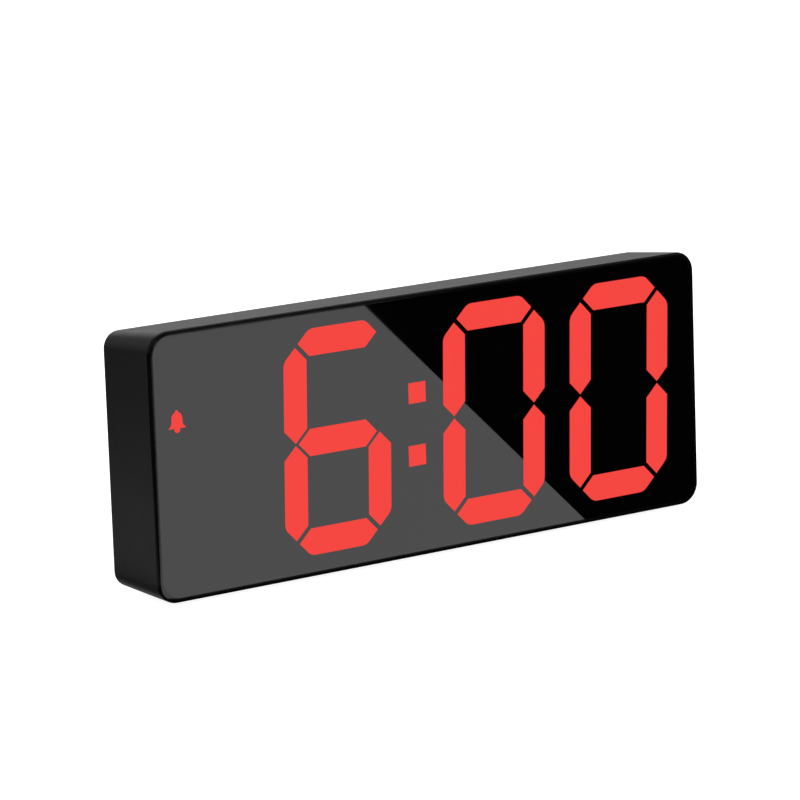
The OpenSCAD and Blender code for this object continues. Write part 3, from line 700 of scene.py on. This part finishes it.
cellShape = {
    "nubRadius": 1.9 * mm,
    "nub": 0.9 * mm,
    "nubEdge": 0.25 * mm,
    "nubSteps": 4,
    "edge": 0.7 * mm,
    "edgeSteps": 8,
    "crimp": 0.35 * mm,
    "crimpWidth": 1.1 * mm,
    "steelReach": 0.1 * mm,  # how far the bare steel shows past the crimp
    "band": 9 * mm,
    "steps": 56,
}


def makeCell(node, positive, s):
    low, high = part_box(node)
    radius = (high.z - low.z) / 2
    length = high.x - low.x
    axis = Vector((-positive, 0, 0))
    start = low.x if positive < 0 else high.x
    centre = Vector((start, (low.y + high.y) / 2, (low.z + high.z) / 2))
    inside = radius - s["crimpWidth"]
    shoulder = s["nub"] + s["edge"]
    bandEnd = shoulder + s["band"]
    soft = s["nubEdge"]
    profile = [(0, 0)] + arc(s["nubRadius"] - soft, soft, soft, -90, 0, s["nubSteps"])
    profile += [(s["nubRadius"], s["nub"] + s["crimp"]), (inside, s["nub"] + s["crimp"])]
    profile += arc(radius - s["edge"], shoulder, s["edge"], -130, 0, s["edgeSteps"])
    profile += [(radius, bandEnd)]
    profile += arc(radius - s["edge"], length - s["edge"], s["edge"], 0, 115, s["edgeSteps"])
    profile += [(inside, length - s["crimp"]), (0, length - s["crimp"])]
    bm = bmesh.new()
    lathe(bm, profile, centre, axis, s["steps"])
    for face in bm.faces:
        middle = face.calc_center_median()
        along = abs(middle.x - start)
        out = (middle - centre - axis * along).length
        sleeve = 1 if along < bandEnd else 0
        steel = out < inside + s["steelReach"]
        face.material_index = 2 if steel else sleeve
    name = node.replace("battery", "cell")
    finished(bm, name, "case", [cellFinish, bandFinish, nickelFinish], [node])


makeCell("battery_top", -1, cellShape)
makeCell("battery_middle", 1, cellShape)
makeCell("battery_bottom", -1, cellShape)

springShape = {
    "wire": 0.35 * mm,
    "turns": 4.5,
    "wide": 3.4 * mm,
    "narrow": 2.2 * mm,
    "steps": 28,
    "length": 4.7 * mm,
    "flat": 0.12,  # share of the wire that lies flat at each end
}


def makeSprings(s):
    low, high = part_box("battery_springs")
    curve = bpy.data.curves.new("spring_wire", "CURVE")
    curve.dimensions = "3D"
    curve.bevel_depth = s["wire"]
    curve.bevel_resolution = 3
    curve.use_fill_caps = True
    count = int(s["turns"] * s["steps"])
    for cell, side in (("battery_top", 1), ("battery_middle", -1), ("battery_bottom", 1)):
        cellLow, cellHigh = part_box(cell)
        middle = (cellLow + cellHigh) / 2
        plate = high.x if side > 0 else low.x
        line = curve.splines.new("POLY")
        line.points.add(count)
        for i in range(count + 1):
            t = i / count
            rise = min(max((t - s["flat"]) / (1 - 2 * s["flat"]), 0), 1)
            radius = s["wide"] + (s["narrow"] - s["wide"]) * t
            angle = math.tau * s["turns"] * t
            along = s["wire"] + (s["length"] - 2 * s["wire"]) * rise
            y = middle.y + radius * math.cos(angle)
            z = middle.z + radius * math.sin(angle)
            line.points[i].co = (plate - side * along, y, z, 1)
    holder = bpy.data.objects.new("spring_wire", curve)
    mesh = bpy.data.meshes.new_from_object(holder)
    bm = bmesh.new()
    bm.from_mesh(mesh)
    bpy.data.objects.remove(holder)
    finished(bm, "contact_springs", "case", [nickelFinish], ["battery_springs"], 60)


makeSprings(springShape)
softened("battery_contacts", "contact_plates", "case", nickelFinish, edgeRound["plate"])
print("cells, springs and contacts made")

# CAD nodes that are shown as they are, each with its finish
carried = {
    "front_lens": lensFinish, "dark_windows": lensFinish, "lens_tape": tapeFinish,
    "diffuser_film": filmFinish, "digit_2_windows": glowFinish, "digit_3_windows": glowFinish,
    "digit_4_windows": glowFinish, "colon_windows": glowFinish, "bell_window": glowFinish,
    "light_box": boxFinish, "display_board": boardFinish, "display_leds": ledFinish,
    "board_screws": zincFinish, "driver_chip": chipFinish, "clock_chip": chipFinish,
    "crystal": tinFinish, "capacitors": sleeveFinish, "resistors": chipFinish,
    "buzzer": nylonFinish, "link_socket": nylonFinish, "link_pins": goldFinish,
    "key_board": boardFinish, "key_board_screws": zincFinish, "key_switches": switchFinish,
    "alarm_switch_body": tinFinish, "usb_tongue": nylonFinish, "lead_positive": redLeadFinish,
    "lead_negative": blackLeadFinish, "set_stem": stemFinish, "mode_stem": stemFinish,
    "up_stem": stemFinish, "down_stem": stemFinish,
}

for name, finish in carried.items():
    for holder in nodes[name].material_slots:
        holder.material = finish
print("CAD nodes finished")

studio = {
    "floorSize": 6.0,
    "floorColor": (0.55, 0.55, 0.55),
    "floorGlow": 0.92,
    "ambient": 0.48,
    "skyGloss": 0.16,
    "horizonLow": -0.02,  # heights between which the reflected sky fades in
    "horizonHigh": 0.12,
    "cardGlow": 1.36,
    "cardLift": 0.2 * mm,
    "glareLeft": -0.02,  # where the glare's edges cross the lens, as shares of its width
    "glareTop": 0.375,
    "glareBottom": 0.778,
    "underGlow": 0.3,
    "underLift": 0.1 * mm,
    "underInset": 1 * mm,
    "underFront": 2 * mm,
    "underBehind": 40 * mm,
}


def makePlane(name, corners, finish):
    bm = bmesh.new()
    bm.faces.new([bm.verts.new(c) for c in corners])
    mesh = bpy.data.meshes.new(name)
    bm.to_mesh(mesh)
    bm.free()
    mesh.materials.append(finish)
    made = bpy.data.objects.new(name, mesh)
    bpy.context.scene.collection.objects.link(made)
    return made


def rectangle(left, right, front, back, z):
    return [(left, front, z), (right, front, z), (right, back, z), (left, back, z)]


def makeFloor(s):
    finish, _, shader = startMaterial("pale_floor", s["floorColor"], 0.9, 0, 0)
    shader.inputs["Emission Color"].default_value = (1, 1, 1, 1)
    shader.inputs["Emission Strength"].default_value = s["floorGlow"]
    half = s["floorSize"] / 2
    made = makePlane("floor", rectangle(-half, half, -half, half, cadBox[0].z), finish)
    made.visible_glossy = False


def makeCard(name, corners, strength):
    finish, _, shader = startMaterial(name, (0, 0, 0), 1, 0, 0)
    shader.inputs["Emission Color"].default_value = (1, 1, 1, 1)
    shader.inputs["Emission Strength"].default_value = strength
    made = makePlane(name, corners, finish)
    made.visible_camera = False  # only reflections see it
    made.visible_diffuse = False
    made.visible_shadow = False
    made.visible_transmission = False


# a pale card on the table, laid where the lens mirrors it to the camera
def makeGlareCard(s):
    z = cadBox[0].z + s["cardLift"]
    eye = Vector((camera.location.x, 2 * lensLow.y - camera.location.y, camera.location.z))

    def onTable(share, height):
        seen = Vector((lensLow.x + share * (lensHigh.x - lensLow.x), lensLow.y, height))
        return eye + (seen - eye) * (eye.z - z) / (eye.z - seen.z)

    corners = [
        onTable(s["glareLeft"], lensLow.z),
        onTable(s["glareBottom"], lensLow.z),
        onTable(s["glareTop"], lensHigh.z),
        onTable(s["glareLeft"], lensHigh.z),
    ]
    makeCard("glare_card", corners, s["cardGlow"])


# a dimmer one beneath the case, for its lower edges
def makeUnderCard(s):
    z = cadBox[0].z + s["underLift"]
    left, right = caseLow.x + s["underInset"], caseHigh.x - s["underInset"]
    front, back = caseLow.y + s["underFront"], coverHigh.y + s["underBehind"]
    makeCard("under_card", rectangle(left, right, front, back, z), s["underGlow"])


# white to the camera, dim to diffuse light, and a faint sky to reflections
def makeSurroundings(s):
    world = bpy.data.worlds.new("studio")
    world.use_nodes = True
    bpy.context.scene.world = world
    tree = world.node_tree
    tree.nodes.clear()
    out = tree.nodes.new("ShaderNodeOutputWorld")
    where = tree.nodes.new("ShaderNodeTexCoord")
    split = tree.nodes.new("ShaderNodeSeparateXYZ")
    ramp = tree.nodes.new("ShaderNodeMapRange")
    ramp.inputs["From Min"].default_value = s["horizonLow"]
    ramp.inputs["From Max"].default_value = s["horizonHigh"]
    ramp.inputs["To Min"].default_value = 0.0
    ramp.inputs["To Max"].default_value = s["skyGloss"]
    rays = tree.nodes.new("ShaderNodeLightPath")
    sky = tree.nodes.new("ShaderNodeBackground")
    soft = tree.nodes.new("ShaderNodeBackground")
    soft.inputs["Strength"].default_value = s["ambient"]
    white = tree.nodes.new("ShaderNodeBackground")
    glossy = tree.nodes.new("ShaderNodeMixShader")
    seen = tree.nodes.new("ShaderNodeMixShader")
    for plain in (sky, soft, white):
        plain.inputs["Color"].default_value = (1, 1, 1, 1)
    join = tree.links.new
    join(where.outputs["Generated"], split.inputs["Vector"])
    join(split.outputs["Z"], ramp.inputs["Value"])
    join(ramp.outputs["Result"], sky.inputs["Strength"])
    join(rays.outputs["Is Glossy Ray"], glossy.inputs[0])
    join(soft.outputs[0], glossy.inputs[1])
    join(sky.outputs[0], glossy.inputs[2])
    join(rays.outputs["Is Camera Ray"], seen.inputs[0])
    join(glossy.outputs[0], seen.inputs[1])
    join(white.outputs[0], seen.inputs[2])
    join(seen.outputs[0], out.inputs["Surface"])


lights = {
    "overhead_softbox": {
        "place": (0.1, 0.1, 1.4), "target": (0, 0, 0), "size": (1.6, 1.2), "power": 9},
    "rear_softbox": {
        "place": (1.1, 1.55, 0.75), "target": (0, 0, 0.03), "size": (2.2, 1.0), "power": 5},
    "rear_left_softbox": {
        "place": (-1.3, 1.3, 1.2), "target": (0, 0, 0.03), "size": (0.9, 0.9), "power": 1},
    "back_fill": {
        "place": (0.1, 1.5, 0.45), "target": (0, 0, 0.03), "size": (1.2, 0.8), "power": 16,
        "glossy": False},
    "left_bounce": {
        "place": (-0.135, 0.045, 0.003), "target": (-0.135, 0.0451, 1), "size": (0.1, 0.15),
        "power": 0.0068},
}


def makeLight(name, s):
    data = bpy.data.lights.new(name, "AREA")
    data.shape = "RECTANGLE"
    data.size, data.size_y = s["size"]
    data.energy = s["power"]
    made = bpy.data.objects.new(name, data)
    made.location = s["place"]
    made.rotation_mode = "QUATERNION"
    aim = Vector(s["target"]) - Vector(s["place"])
    made.rotation_quaternion = aim.to_track_quat("-Z", "Y")
    made.visible_camera = False
    made.visible_glossy = s.get("glossy", True)
    bpy.context.scene.collection.objects.link(made)


makeFloor(studio)
makeGlareCard(studio)
makeUnderCard(studio)
makeSurroundings(studio)
for name, settings in lights.items():
    makeLight(name, settings)
bpy.context.scene.view_settings.view_transform = "Standard"
print("studio made")
